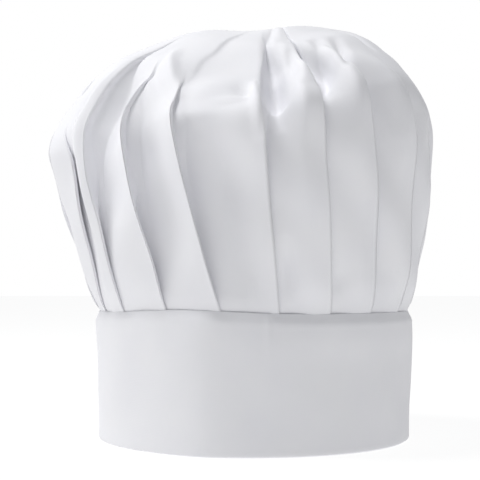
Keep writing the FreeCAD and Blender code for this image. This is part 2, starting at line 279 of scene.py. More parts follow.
def poplin_cloth():
    """Pressed polycotton poplin: a smooth, dull, slightly cool white with a little soft sheen. It is a plain
    weave with soft rumpling from the iron. Its threads lie 0.3 mm apart and are drawn three times as coarse,
    so that the weave shows at all."""
    material = new_material("poplin_white_polycotton")
    cut = add_node(material, "UVMap", {"uv_map": "cut"})
    warp, weft = (add_node(material, "TexWave", {"bands_direction": way},
                           {"Scale": WAVE_PERIOD / WEAVE, "Distortion": 0.6, "Detail": 1.0,
                            "Detail Scale": 0.3}, {"Vector": (cut, "UV")}) for way in "XY")
    weave = add_node(material, "Math", {"operation": "MAXIMUM"}, links={0: (warp, "Fac"), 1: (weft, "Fac")})
    space = add_node(material, "TexCoord")
    blotch = add_node(material, "TexNoise", None, {"Scale": 1 / 0.03, "Detail": 4.0, "Roughness": 0.6},
                      {"Vector": (space, "Object")})
    rumple = add_node(material, "TexNoise", None, {"Scale": 1 / 0.007, "Detail": 3.0, "Roughness": 0.5},
                      {"Vector": (space, "Object")})
    threads = add_node(material, "Bump", None, {"Strength": 0.12, "Distance": 0.0002},
                       {"Height": (weave, "Value")})
    return finish_cloth(material, (blotch, "Fac"), ("#F3F3F5", "#EDEDF2"), (rumple, "Fac"), (0.16, 0.0006),
                        {"Roughness": 0.82, "IOR": 1.5, "Specular IOR Level": 0.25, "Sheen Weight": 0.12,
                         "Sheen Roughness": 0.5}, threads)


poplin = poplin_cloth()

half_gap = END_GAP / 2 / BAND_RADIUS
around = np.unique(np.concatenate([
    np.linspace(-math.pi + half_gap, math.pi - half_gap, 421),
    -math.pi + half_gap + np.linspace(0.0, PLY_OUT, 7) / BAND_RADIUS,
    math.pi - half_gap - np.linspace(0.0, PLY_OUT, 7) / BAND_RADIUS,
]))
ring = np.full(len(around), BAND_MIDDLE)
band = folded_strip("band_cloth", around, ring, band_low.z, BAND_TOP, soften_band)
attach(band, "hat")
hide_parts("band")

# ---------------------------------------------------------------- band stiffener
# A strip of starched buckram, 69 mm wide, that slips into the folded band under the seam allowance. It is
# never seen, but it is what keeps the band upright.

BUCKRAM = 0.0008                 # thickness
BUCKRAM_WEAVE = 0.0012           # from thread to thread

stiffener_low, stiffener_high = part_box("band_stiffener")


def buckram_cloth():
    """Buckram: coarse, open, starched threads, a little yellower than the poplin and slightly shiny. Its
    darker colour between the threads is painted shade.
    """
    material = new_material("buckram_starched")
    space = add_node(material, "TexCoord")
    upright, level = (add_node(material, "TexWave", {"bands_direction": way},
                               {"Scale": WAVE_PERIOD / BUCKRAM_WEAVE, "Distortion": 0.8, "Detail": 1.0},
                               {"Vector": (space, "Object")}) for way in "ZX")
    mesh = add_node(material, "Math", {"operation": "MAXIMUM"},
                    links={0: (upright, "Fac"), 1: (level, "Fac")})
    return finish_cloth(material, (mesh, "Value"), ("#E0DFDB", "#F4F3F0"), (mesh, "Value"), (0.6, 0.0004),
                        {"Roughness": 0.55, "IOR": 1.5})


buckram = buckram_cloth()
end_angle = math.pi - 2.2 * half_gap
inside_ends = np.linspace(-end_angle, end_angle, 361)
levels = np.linspace(stiffener_low.z, stiffener_high.z, 15)
reach = BAND_MIDDLE + sway(inside_ends)
foot_line = np.stack([reach * np.sin(inside_ends), -reach * np.cos(inside_ends)], 1)
stiffener_points = [(x, y, z) for z in levels for x, y in foot_line]
stiffener_cut = [(along, z) for z in levels for along in inside_ends * BAND_MIDDLE]
stiffener = piece("band_buckram", stiffener_points, grid_faces(len(levels), len(inside_ends)), stiffener_cut,
                  buckram)
apply(stiffener, "SOLIDIFY", thickness=BUCKRAM, offset=0.0)
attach(stiffener, "hat")
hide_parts("band_stiffener")

# ---------------------------------------------------------------- crown
# One round of the same poplin, 538 mm across, laid in twenty knife pleats and sewn into the band. The pleats
# are pressed flat at the seam. Higher up there is less cloth to hide, so they open into soft hollows between
# puffed lobes, and past the shoulder they run out in creases over the top, which has slumped to -X.

CUT_DIAMETER = 0.538
SEAM_ALLOWANCE = 0.010
PLEATS = 20
LAYER_AT_SEAM = 0.00037          # from one pressed layer to the next
LAYER_LOOSE = 0.0009             # and higher up, where nothing holds them down
ROWS = 124
PANEL_COLUMNS = 22
HIDDEN_COLUMNS = 5
LIP = 0.0010                     # how far a pressed fold stands proud
UNDERLAP = 0.02                  # a panel starts that share of a pitch under the fold before it
FOLD_BACK = 0.012                # and a fold's other side lies that share of a pitch behind it
HOLLOW_LEAN = 1.3                # over 1, so that a hollow is deepest above its middle
SPREAD_FROM = 0.008              # depth of a hollow at which its panel is fully spread
SOFT_FROM = 0.006                # and at which its bottom is fully rounded
SOFTENING = 10                   # rounds of smoothing along each row
TUCKED = (0.0075, 0.004, 0.0015)     # how far the rows of the seam allowance lie below the seam

SEAM_HEIGHT = BAND_TOP - 0.0006
SEAM_RADIUS = BAND_MIDDLE + LAYER_AT_SEAM
APEX_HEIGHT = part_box("crown")[1].z + 0.0028
APEX_SIDE = 0.016                # the top sits this far to +X
APEX_STARTS = 0.45               # share of the way up where the centre line starts to lean

# The crown's outline over the band, as (outwards, up) in millimetres, by the angle that it faces.
OUTLINES = {
    -90: [(0, 0), (2.5, 4), (8.5, 18), (14, 34), (19.5, 49), (24.5, 65), (29, 82), (32.5, 94), (33.6, 101),
          (31.6, 111), (26.6, 121), (19.4, 131), (10.4, 142), (-0.6, 152), (-13.6, 162), (-42.6, 174),
          (-73.6, 179)],
    -45: [(0, 0), (7, 17), (15, 42), (20, 66), (22, 86), (20, 102), (12.5, 117), (1, 132), (-15, 146),
          (-36, 160), (-64, 173)],
    -12: [(0, 0), (6, 17), (12, 40), (16.5, 63), (19.5, 86), (20.5, 104), (17.5, 114.5), (7, 121.5),
          (-11, 133), (-34, 150.5), (-61, 170)],
    14: [(0, 0), (6, 17), (12, 40), (15.5, 64), (18.5, 88), (19.8, 108), (17.5, 120.5), (8, 128.5),
         (-8, 138), (-27, 151), (-46, 163), (-66, 174.5)],
    32: [(0, 0), (6, 18), (11.5, 40), (15, 65), (17, 88), (17.5, 108), (16.5, 124), (12, 136), (0, 146),
         (-18, 156), (-40, 167), (-62, 176)],
    60: [(0, 0), (5.5, 18), (9.5, 38), (13, 60), (15.5, 85), (16, 108), (14, 124), (9, 136), (0, 148),
         (-13, 160), (-38, 175)],
    90: [(0, 0), (5.5, 18), (8.5, 34), (11.5, 49), (14, 65), (15.5, 82), (15.8, 98), (15.2, 111),
         (13.2, 121), (10.2, 131), (5.4, 142), (-0.6, 152), (-9.6, 162), (-26, 173), (-41, 179)],
    180: [(0, 0), (7, 19), (15, 50), (19, 80), (18, 104), (11, 126), (-4, 147), (-29, 165), (-58, 176)],
}

# Each pleat's fold: its angle at the band, halfway to the shoulder and at the shoulder. Then the hollow next
# to it: its depth in mm, the shares of the way up between which it is open, and its width as a share of the
# panel. Last, how far in mm the panel that ends in the fold puffs out, and at what share of the way up.
FOLDS = [
    (-68.0, -61.0, -68.0, 2.5, 0.08, 0.37, 0.60, 1.5, 0.38),
    (-52.5, -52.8, -61.0, 14.0, 0.08, 0.68, 1.18, 2.2, 0.44),
    (-31.0, -36.0, -45.0, 13.5, -0.02, 0.58, 1.08, 0.6, 0.34),
    (-11.2, -18.7, -26.0, 10.0, -0.06, 0.55, 1.05, 0.8, 0.40),
    (8.0, 4.2, 1.5, 13.0, 0.26, 0.79, 0.66, 1.6, 0.42),
    (26.0, 21.2, 18.5, 12.0, 0.36, 0.84, 0.75, 1.4, 0.46),
    (43.5, 38.7, 34.5, 6.0, 0.22, 0.68, 0.70, 1.6, 0.50),
    (62.0, 58.3, 55.8, 4.0, 0.20, 0.60, 0.70, 1.6, 0.46),
]
# Creases and soft dents that the cloth was left with when the hat was turned out: angle and share of the way
# up at both ends, then width and height in mm. A negative height is a dent.
CREASES = [
    (-48.0, 0.69, -26.0, 0.53, 4.2, 3.6), (-50.0, 0.62, -34.0, 0.53, 4.5, -2.6),
    (-12.0, 0.42, -6.0, 0.20, 9.0, -2.5), (-0.8, 0.58, 1.2, 0.40, 2.8, 4.0),
    (6.0, 0.62, 6.5, 0.42, 3.6, -4.5), (14.0, 0.72, 12.5, 0.56, 3.2, -4.0),
    (20.0, 0.69, 15.5, 0.55, 4.0, 3.0), (30.0, 0.76, 20.5, 0.54, 3.4, -5.0),
    (41.0, 0.75, 31.0, 0.60, 3.2, -4.0), (-6.0, 0.58, -2.0, 0.50, 5.0, -2.5),
    (0.0, 0.86, 3.0, 0.69, 2.6, -1.6), (6.0, 0.85, 8.0, 0.70, 3.2, 1.2),
    (67.0, 0.83, 58.0, 0.70, 3.0, -2.4), (82.0, 0.74, 72.0, 0.62, 3.2, -2.4),
    (9.0, 0.16, 11.0, 0.05, 4.5, -2.6), (27.0, 0.11, 28.0, 0.05, 5.0, -1.4),
    (-5.0, 0.20, -2.0, 0.06, 9.0, -1.8), (45.0, 0.55, 49.0, 0.42, 9.0, -2.2),
    (-1.0, 0.075, -1.0, 0.02, 1.3, 0.7), (-13.0, 0.50, -1.0, 0.50, 3.2, 1.6),
]
# The folds and creases of the far side go on in the same way, at uneven steps.
picker = np.random.default_rng(5)
first, last = FOLDS[0], FOLDS[-1]
UNSEEN = PLEATS - len(FOLDS)
for step in range(1, UNSEEN + 1):
    share = step / (UNSEEN + 1)
    low = last[0] + (first[0] + 360 - last[0]) * share + picker.uniform(-1.5, 1.5)
    high = last[2] + (first[2] + 360 - last[2]) * share + picker.uniform(-3.0, 3.0)
    FOLDS.append((low, 0.3 * low + 0.7 * high, high, picker.uniform(5.0, 13.0), picker.uniform(0.10, 0.3),
                  picker.uniform(0.52, 0.66), picker.uniform(0.45, 0.75), picker.uniform(1.2, 2.6),
                  picker.uniform(0.36, 0.5)))
    CREASES.append((high + picker.uniform(2, 7), picker.uniform(0.42, 0.48),
                    high + picker.uniform(-4, 9), picker.uniform(0.60, 0.74),
                    picker.uniform(3.5, 6.0), picker.uniform(-4.0, -1.8)))
    CREASES.append((high - picker.uniform(3, 8), picker.uniform(0.2, 0.34),
                    high - picker.uniform(3, 9), picker.uniform(0.40, 0.5),
                    picker.uniform(5.0, 9.0), picker.uniform(-2.4, 1.4)))
at_band, at_half, at_shoulder, hollow, opens, closes, spread, puff, puff_at = np.array(FOLDS).T


def smooth_line(points, count):
    """A smooth line through given points, as evenly spaced points."""
    points = np.array(points, float)
    ends = np.vstack([2 * points[0] - points[1], points, 2 * points[-1] - points[-2]])
    line = []
    for i in range(1, len(ends) - 2):
        before, here, after, beyond = ends[i - 1:i + 3]
        for u in np.linspace(0.0, 1.0, 30, endpoint=False):
            line.append(here + 0.5 * u * (after - before
                        + u * (2 * before - 5 * here + 4 * after - beyond
                               + u * (3 * here - before - 3 * after + beyond))))
    line = np.array(line + [points[-1]])
    run = run_of(line)
    at = np.linspace(0.0, run[-1], count)
    return np.stack([np.interp(at, run, line[:, i]) for i in range(line.shape[1])], 1)


def outline(angle):
    """Evenly spaced (distance from the axis, height) from the seam to the apex, on one side."""
    line = [(SEAM_RADIUS + out / 1000, SEAM_HEIGHT + up / 1000) for out, up in OUTLINES[angle]]
    return smooth_line(line + [(APEX_SIDE * math.sin(math.radians(angle)), APEX_HEIGHT)], ROWS)


rise = np.linspace(0.0, 1.0, ROWS)
centre = APEX_SIDE * np.clip((rise - APEX_STARTS) / (1 - APEX_STARTS), 0.0, 1.0) ** 2
facing = sorted(OUTLINES)
sides = {angle: outline(angle) for angle in facing}
MERIDIAN = float(run_of(sides[-12])[-1])
for angle, line in sides.items():
    line[:, 0] -= centre * math.sin(math.radians(angle))
FINE = np.arange(-180, 541)


def all_round(values):
    """A smooth ring of values, one for each degree from -180 to 540, through the ones of the outlines."""
    known = [angle + lap for lap in (-720, -360, 0, 360, 720) for angle in facing]
    slopes = []
    repeated = list(values) * 5
    for i in range(len(known)):
        low, high = max(i - 1, 0), min(i + 1, len(known) - 1)
        slopes.append((repeated[high] - repeated[low]) / (known[high] - known[low]))
    i = np.searchsorted(known, FINE, side="right") - 1
    known, repeated, slopes = np.array(known), np.array(repeated), np.array(slopes)
    width = known[i + 1] - known[i]
    u = (FINE - known[i]) / width
    return (repeated[i] * (1 + 2 * u) * (1 - u) ** 2 + slopes[i] * width * u * (1 - u) ** 2
            + repeated[i + 1] * u * u * (3 - 2 * u) + slopes[i + 1] * width * u * u * (u - 1))


ring_reach = np.array([all_round([sides[angle][row, 0] for angle in facing]) for row in range(ROWS)])
ring_height = np.array([all_round([sides[angle][row, 1] for angle in facing]) for row in range(ROWS)])


def crown_point(row, angle):
    """Points of the plain crown, without pleats, at one row and several angles in radians."""
    place = (np.degrees(angle) + 180.0) % 360.0 - 180.0
    low = float(smooth(1 - rise[row] / 0.22))
    out = np.interp(place, FINE, ring_reach[row]) + low * sway(angle)
    height = np.interp(place, FINE, ring_height[row]) + low * seam_wave(angle)
    return np.stack([centre[row] + out * np.sin(angle), -out * np.cos(angle), height], 1)


def hill(x, low, high):
    """A rise from 0 at low to 1 and back to 0 at high, for the depth of a hollow on its way up."""
    share = np.clip((x - low) / (high - low), 0.0, 1.0)
    return np.sin(math.pi * share ** HOLLOW_LEAN) ** 1.2


def creased(angle, t, radius):
    """How far the creases and dents move points of one row outwards."""
    total = np.zeros(len(angle))
    for from_angle, from_t, to_angle, to_t, width, height in CREASES:
        across = np.radians(apart(angle, from_angle)) * radius
        up = (t - from_t) * MERIDIAN
        along = np.array([math.radians(to_angle - from_angle) * radius, (to_t - from_t) * MERIDIAN])
        length = max(np.hypot(*along), 1e-6)
        share = np.clip((across * along[0] + up * along[1]) / length ** 2, 0.0, 1.0)
        off = np.hypot(across - share * along[0], up - share * along[1])
        taper = 0.35 + 0.65 * np.sin(math.pi * share) if length > 0.012 else 1.0
        total += height / 1000 * taper * np.exp(-(off / (width / 1000)) ** 2)
    return total


# Shares across a panel, which ends at its fold, and across each of the two layers hidden behind it.
columns = PANEL_COLUMNS + 2 + 2 * HIDDEN_COLUMNS
panel = np.linspace(0.0, 1.0, PANEL_COLUMNS, endpoint=False)
under = np.linspace(0.0, 1.0, HIDDEN_COLUMNS + 1)[1:]
back = np.append(under[:-1], 0.93)


def pleat(k, t, pitch, hide, gaps):
    """One pleat at share t of the way up: its panel, its pressed fold and the two layers hidden behind that.
    Gives each point's place in pitches from the fold, its depth out of the plain crown and its softness."""
    layer = LAYER_AT_SEAM + (LAYER_LOOSE - LAYER_AT_SEAM) * smooth(t / 0.1)
    drift = 0.22 * smooth((t - 0.30) / 0.2)
    gap_before, gap = gaps[k - 1], gaps[k]
    start = -1 - UNDERLAP + drift * spread[k - 1] * min(gap_before / SPREAD_FROM, 1.0)
    end_place = -UNDERLAP + drift * spread[k] * min(gap / SPREAD_FROM, 1.0)
    puffed = 0.0010 + puff[k] / 1000 * math.exp(-((t - puff_at[k]) / 0.15) ** 2)
    bulge = puffed * np.sin(math.pi * panel) ** 0.9 * smooth((t - 0.01) / 0.07)
    face = (-2 * layer - gap_before) * (1 - smooth((panel / spread[k - 1]) ** 1.9)) + bulge
    valley = 0.5 * min(gap_before / SOFT_FROM, 1.0) * (1 - smooth(panel / 0.7))
    worn = 0.02 + 0.45 * smooth((t - 0.40) / 0.2)
    soft = np.append(np.maximum(valley, worn), np.full(columns - PANEL_COLUMNS, worn))
    inner_drop = min(0.8 * gap, 0.9 * hide)
    inner_place = -math.sqrt(hide ** 2 - inner_drop ** 2) / pitch
    inner_depth = -1.5 * layer - inner_drop
    tuck_place = np.append(-FOLD_BACK + (inner_place + FOLD_BACK) * under,
                           inner_place + (end_place - inner_place) * back)
    tuck_depth = np.append(-layer + (inner_depth + layer) * under,
                           inner_depth + (-2 * layer - gap - inner_depth) * back)
    behind = np.interp(1 + tuck_place, panel, face) - np.repeat([layer, 2 * layer], HIDDEN_COLUMNS)
    place = np.concatenate([start * (1 - panel), [0.0, -FOLD_BACK], tuck_place])
    depth = np.concatenate([face, [LIP * smooth(t / 0.03), -layer], np.minimum(tuck_depth, behind)])
    return place, depth, soft


def pleated_crown():
    """Rows of points from the sewn edge to the apex, and the same points on the flat round of cloth."""
    cut_radius = CUT_DIAMETER / 2 - SEAM_ALLOWANCE
    laps = np.arange(PLEATS)[:, None]
    even = (np.arange(columns) / columns - 1)[None, :] + laps
    round_the_cut = math.tau * np.arange(PLEATS * columns) / (PLEATS * columns)
    known = np.arange(-2, PLEATS + 2)
    spots, flat = [], []
    for row in range(ROWS - 1):
        t = rise[row]
        # 0 at the band, 1 halfway and 2 at the shoulder, past which the folds run straight up.
        climb = 4 * t if t < 0.45 else 1.8 + 0.3 * (1 - math.exp(-(t - 0.45) / 0.075))
        ridge = np.radians(at_band * (climb - 1) * (climb - 2) / 2 + at_half * climb * (2 - climb)
                           + at_shoulder * climb * (climb - 1) / 2)
        girth = run_of(crown_point(row, np.linspace(0, math.tau, 121)))[-1]
        pitch = girth / PLEATS
        cloth = math.tau * cut_radius * (1 - t) / PLEATS
        hide = max((cloth - pitch) / 2, 0.0)
        gaps = smooth((t - 0.005) / 0.06) * hollow / 1000 * hill(t, opens, closes)
        pleats = [pleat(k, t, pitch, hide, gaps) for k in range(PLEATS)]
        place, depth, soft = (np.array(values) for values in zip(*pleats))
        opened = np.repeat(smooth((t - closes + 0.03) / 0.15), columns)
        place = (1 - opened) * (place + laps).ravel() + opened * even.ravel()
        depth = (1 - opened) * depth.ravel()
        soft = np.maximum(soft.ravel(), opened)
        for _ in range(SOFTENING):
            mean_place = 0.5 * (np.roll(place, 1) + np.roll(place, -1))
            mean_place[0] = 0.5 * (place[-1] - PLEATS + place[1])
            mean_place[-1] = 0.5 * (place[-2] + place[0] + PLEATS)
            mean_depth = 0.5 * (np.roll(depth, 1) + np.roll(depth, -1))
            place = place + 0.5 * soft * (mean_place - place)
            depth = depth + 0.5 * soft * (mean_depth - depth)
        angle = np.interp(place, known, ridge[known % PLEATS] + known // PLEATS * math.tau)
        spot = crown_point(row, angle)
        along = crown_point(min(row + 1, ROWS - 1), angle) - crown_point(max(row - 1, 0), angle)
        across = crown_point(row, angle + 0.01) - crown_point(row, angle - 0.01)
        normal = np.cross(across, along)
        normal /= np.linalg.norm(normal, axis=1)[:, None]
        dents = 0.0009 * ripple(spot[:, 0], spot[:, 2] + spot[:, 1], 0.045, 2) * smooth(t / 0.12)
        moved = creased(angle, t, girth / math.tau) * smooth((t - 0.01) / 0.05) * smooth((0.97 - t) / 0.1)
        spots.append(spot + normal * (depth + dents + moved)[:, None])
        reach = cut_radius * (1 - t)
        flat.append(np.stack([reach * np.cos(round_the_cut), reach * np.sin(round_the_cut)], 1))
    allowance = [spots[0] - np.array([0.0, 0.0, drop]) for drop in TUCKED]
    edge = [flat[0] * (1 + drop / cut_radius) for drop in TUCKED]
    return np.array(allowance + spots), np.array(edge + flat)


crown_rows, crown_flat = pleated_crown()
row_count, column_count = crown_rows.shape[:2]
apex = row_count * column_count
crown_faces = grid_faces(row_count, column_count, closed=True)
last_ring = (row_count - 1) * column_count
crown_faces += [(last_ring + c, last_ring + (c + 1) % column_count, apex) for c in range(column_count)]
crown_points = np.vstack([crown_rows.reshape(-1, 3), [[APEX_SIDE, 0.0, APEX_HEIGHT]]])
crown_cut = np.vstack([crown_flat.reshape(-1, 2), [[0.0, 0.0]]])
crown = piece("crown_cloth", crown_points, crown_faces, crown_cut, poplin)

# The vent above the gap: a slit cut up through the pleats at the back, with its edges hemmed.
VENT_FOOT = 0.0066
VENT_HEAD = 0.0015
VENT_HEIGHT = 0.052
vent_top = BAND_TOP + VENT_HEIGHT


def vent_edge(height):
    """Half the vent's width at that height."""
    share = np.clip((height - BAND_TOP) / VENT_HEIGHT, 0.0, 1.0)
    return (VENT_FOOT + (VENT_HEAD - VENT_FOOT) * share) / 2


def at_back(face, reach, top):
    """Whether a face is at the back of the hat, within reach of its middle and below top."""
    spot = face.calc_center_median()
    return spot.y > BAND_RADIUS / 2 and abs(spot.x) < reach and spot.z < top


def cut_vent(made):
    """Cuts the slit's two sides and its head into the mesh, and takes out what lies between them."""
    cut = bmesh.new()
    cut.from_mesh(made.data)
    lean = (VENT_FOOT - VENT_HEAD) / 2 / VENT_HEIGHT
    planes = [((side * VENT_FOOT / 2, 0, BAND_TOP), (side, 0, lean)) for side in (-1, 1)]
    for spot, facing_way in planes + [((0, 0, vent_top), (0, 0, 1))]:
        near = [f for f in cut.faces if at_back(f, 0.012, vent_top + 0.006)]
        around_it = list({e for f in near for e in f.edges}) + list({v for f in near for v in f.verts})
        bmesh.ops.bisect_plane(cut, geom=near + around_it, plane_co=spot, plane_no=facing_way)
    gone = [f for f in cut.faces if at_back(f, vent_edge(f.calc_center_median().z), vent_top)]
    bmesh.ops.delete(cut, geom=gone, context="FACES")
    cut.to_mesh(made.data)
    cut.free()


cut_vent(crown)
apply(crown, "SOLIDIFY", thickness=CLOTH, offset=0.0)
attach(crown, "hat")
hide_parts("crown")

# ---------------------------------------------------------------- vent hem thread and bartack
# White polyester thread. A row of lockstitches runs down each side of the vent, and six stitches laid close
# together across its head stop it from tearing further.

THREAD = 0.00036                 # thickness of the thread, a third over the real one so that it shows
THREAD_TWIST = 0.0005
STITCH_LENGTH = 0.0024
STITCH_PITCH = 0.0034
STITCH_TO_EDGE = 0.0025
BARTACK_STITCHES = 6
BARTACK_PITCH = 0.00055
BARTACK_WIDTH = 0.006


def twisted_thread():
    """Spun polyester thread of two plies: a fine diagonal twist and a slight sheen. Its darker colour in the
    twist's grooves is painted shade.
    """
    material = new_material("polyester_thread_white")
    cut = add_node(material, "UVMap", {"uv_map": "cut"})
    twist = add_node(material, "TexWave", {"bands_direction": "DIAGONAL"},
                     {"Scale": WAVE_PERIOD / THREAD_TWIST}, {"Vector": (cut, "UV")})
    return finish_cloth(material, (twist, "Fac"), ("#E2E2E8", "#F8F8F8"), (twist, "Fac"), (0.5, 0.0001),
                        {"Roughness": 0.5, "IOR": 1.5, "Sheen Weight": 0.2, "Sheen Roughness": 0.4})


thread = twisted_thread()


def sewn(name, spans, node, body):
    """Stitches as one piece. Each span is a stitch's two ends on the cloth and the way out of it; the thread
    rises out of the cloth, lies on it and dips in again."""
    rings, corners = 7, 6
    points, faces, flat = [], [], []
    for start, end, out in spans:
        start, end, out = (np.asarray(v, float) for v in (start, end, out))
        aside = np.cross(end - start, out)
        aside /= np.linalg.norm(aside)
        base = len(points)
        for u in np.linspace(0.0, 1.0, rings):
            arch = math.sin(math.pi * u)
            thick = THREAD / 2 * (0.35 + 0.65 * math.sqrt(arch))
            middle_of_it = start + (end - start) * u + out * THREAD * (0.45 * arch ** 0.6 - 0.2)
            for c in range(corners):
                v = math.tau * c / corners
                points.append(middle_of_it + thick * (math.cos(v) * out + math.sin(v) * aside))
                flat.append((u * np.linalg.norm(end - start), THREAD * math.pi * c / corners))
        faces += grid_faces(rings, corners, closed=True, first=base)
        faces.append(tuple(base + c for c in reversed(range(corners))))
        faces.append(tuple(base + (rings - 1) * corners + c for c in range(corners)))
    made = piece(name, points, faces, flat, thread)
    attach(made, body)
    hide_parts(node)
    return made


bpy.context.view_layer.update()
crown_tree = BVHTree.FromObject(crown, bpy.context.evaluated_depsgraph_get())


def on_crown(x, height):
    """The crown's outer face behind the head at that x and height, and the way out of it."""
    spot, out, _, _ = crown_tree.ray_cast(Vector((x, 0.2, height)), Vector((0, -1, 0)))
    return np.array(spot), np.array(out if out.y > 0 else -out)


hem_spans = []
first_stitch = BAND_TOP + STITCH_TO_EDGE
for i in range(int((VENT_HEIGHT - STITCH_TO_EDGE) / STITCH_PITCH)):
    foot = first_stitch + i * STITCH_PITCH
    head = foot + STITCH_LENGTH
    for side in (-1, 1):
        low_end, out = on_crown(side * (vent_edge(foot) + STITCH_TO_EDGE), foot)
        high_end, _ = on_crown(side * (vent_edge(head) + STITCH_TO_EDGE), head)
        hem_spans.append((low_end, high_end, out))
sewn("vent_hem_stitches", hem_spans, "vent_hem_thread", "hat")

tack_spans = []
for i in range(BARTACK_STITCHES):
    height = vent_top + (i + 0.5) * BARTACK_PITCH
    left_end, out = on_crown(-BARTACK_WIDTH / 2, height)
    right_end, _ = on_crown(BARTACK_WIDTH / 2, height)
    tack_spans.append((left_end, right_end, out))
sewn("vent_tack_stitches", tack_spans, "vent_bartack", "hat")

# ---------------------------------------------------------------- closure flap and its stiffener
# The band's free end, two plies with buckram between them. It leaves one end of the band, steps out over the
# gap and lies on the other end. Its top is turned in and closed with a row of stitches.

FLAP_RAMP = 0.007                # length over which the flap steps out
STEP_OUT = 0.0026                # room under it for the two tapes and the pile between them

flap_low, flap_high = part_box("closure_flap")
flap_thickness = BAND_RADIUS - OPENING_RADIUS
FLAP_OUTER = BAND_RADIUS + STEP_OUT + flap_thickness
flap_middle = FLAP_OUTER - flap_thickness / 2


def back_angle(x, radius):
    """The angle of a point at the back of the hat that has that x at that radius."""
    return math.pi + math.asin(-x / radius)


flap_root = math.pi - half_gap
flap_tip = back_angle(flap_low.x, FLAP_OUTER)
stepped = flap_root + FLAP_RAMP / BAND_RADIUS
flap_angles = np.unique(np.concatenate([
    np.linspace(flap_root, stepped, 18), np.linspace(stepped, flap_tip, 60),
    flap_root + np.linspace(0.0, PLY_OUT, 5) / BAND_RADIUS,
    flap_tip - np.linspace(0.0, PLY_OUT, 7) / FLAP_OUTER,
]))
step_share = (flap_angles - flap_root) / (stepped - flap_root)
flap_radii = BAND_MIDDLE + (flap_middle - BAND_MIDDLE) * np.clip(step_share, 0, 1)


def soften_flap(angle, out, height):
    """A few soft dents in the outer ply, and a slight pull-in at the row of stitches along the top."""
    outer = smooth(out / PLY_OUT)
    dents = 0.00018 * ripple(angle * BAND_RADIUS, height, 0.03, 21)
    pulled = 0.00015 * math.exp(-((height - flap_high.z + STITCH_TO_EDGE) / 0.0012) ** 2)
    return outer * (dents - pulled), 0.0


flap = folded_strip("flap_cloth", flap_angles, flap_radii, flap_low.z, flap_high.z, soften_flap)
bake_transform(flap)
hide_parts("closure_flap")

flap_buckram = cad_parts["flap_stiffener"]
flap_buckram.data.materials.clear()
flap_buckram.data.materials.append(buckram)


def on_ring(radius, angle, height):
    """A point at that radius, angle and height."""
    return np.array([radius * math.sin(angle), -radius * math.cos(angle), height])


def row_on_ring(radius, corners, way):
    """Stitches along straight runs between (angle, height) corners on a ring. way is 1 on a face that looks
    outwards and -1 on one that looks inwards."""
    spans = []
    for (from_angle, from_height), (to_angle, to_height) in zip(corners, corners[1:]):
        length = math.hypot((to_angle - from_angle) * radius, to_height - from_height)
        count = max(int(length / STITCH_PITCH), 1)
        for i in range(count):
            ends = []
            for share in ((i + 0.15) / count, (i + 0.15 + STITCH_LENGTH / STITCH_PITCH) / count):
                angle = from_angle + (to_angle - from_angle) * share
                ends.append(on_ring(radius, angle, from_height + (to_height - from_height) * share))
            spans.append((ends[0], ends[1], way * on_ring(1.0, angle, 0.0)))
    return spans


top_row = flap_high.z - STITCH_TO_EDGE - 0.0003
row_end = flap_tip - STITCH_TO_EDGE / FLAP_OUTER
edge_row = row_on_ring(FLAP_OUTER, [(stepped, top_row), (row_end, top_row)], 1)
sewn("flap_edge_stitches", edge_row, "flap_edge_thread", "flap")

# ---------------------------------------------------------------- fastener tapes
# Woven nylon hook-and-loop tape, 64 mm wide. The soft half is sewn on the band's under end and the hook half
# under the flap, each with a rectangle of stitches that shows on the cloth behind it too.

TAPE = 0.0007                    # thickness of the tape without its pile
LOOP_PITCH = 0.0017
LOOP_HEIGHT = 0.0010
HOOK_PITCH = 0.0015
HOOK_HEIGHT = 0.0007
HOOK_TAPE_WIDTH = 0.025
PILE_INSET = 0.0022              # the bare selvedge along a tape's edges

loop_low, loop_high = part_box("loop_strip")
hook_low, hook_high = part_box("hook_strip")


def tape_cloth(name, groove_shade, ridge, rib):
    """Narrow-woven nylon: fine ribs across the tape, that many metres apart, and a little shine. The first
    colour is painted shade in the grooves between the ribs, the second the white of the ribs.
    """
    material = new_material(name)
    cut = add_node(material, "UVMap", {"uv_map": "cut"})
    ribs = add_node(material, "TexWave", {"bands_direction": "X"},
                    {"Scale": WAVE_PERIOD / rib, "Distortion": 0.4, "Detail": 1.0, "Detail Scale": 0.3},
                    {"Vector": (cut, "UV")})
    return finish_cloth(material, (ribs, "Fac"), (groove_shade, ridge), (ribs, "Fac"), (0.5, 0.0002),
                        {"Roughness": 0.55, "IOR": 1.53, "Sheen Weight": 0.3, "Sheen Roughness": 0.4})


# Each tape's first colour is painted shade in the grooves between its ribs.
loop_nylon = tape_cloth("loop_tape_brushed_nylon", "#E6E6EC", "#F8F8FB", 0.0008)
hook_nylon = tape_cloth("hook_tape_woven_nylon", "#DEDEE4", "#F4F4F7", 0.0010)


def tape(name, radius, start, end, foot, top, material):
    """A strip of tape with rounded corners on a ring, between two angles and two heights."""
    angles, heights = np.linspace(start, end, 60), np.linspace(foot, top, 40)
    points, flat = [], []
    for height in heights:
        for angle in angles:
            points.append(on_ring(radius, angle, height))
            flat.append(((angle - start) * radius, height - foot))
    made = piece(name, points, grid_faces(len(heights), len(angles)), flat, material)
    apply(made, "SOLIDIFY", thickness=TAPE, offset=0.0)
    return apply(made, "BEVEL", width=0.00022, segments=2, limit_method="ANGLE")


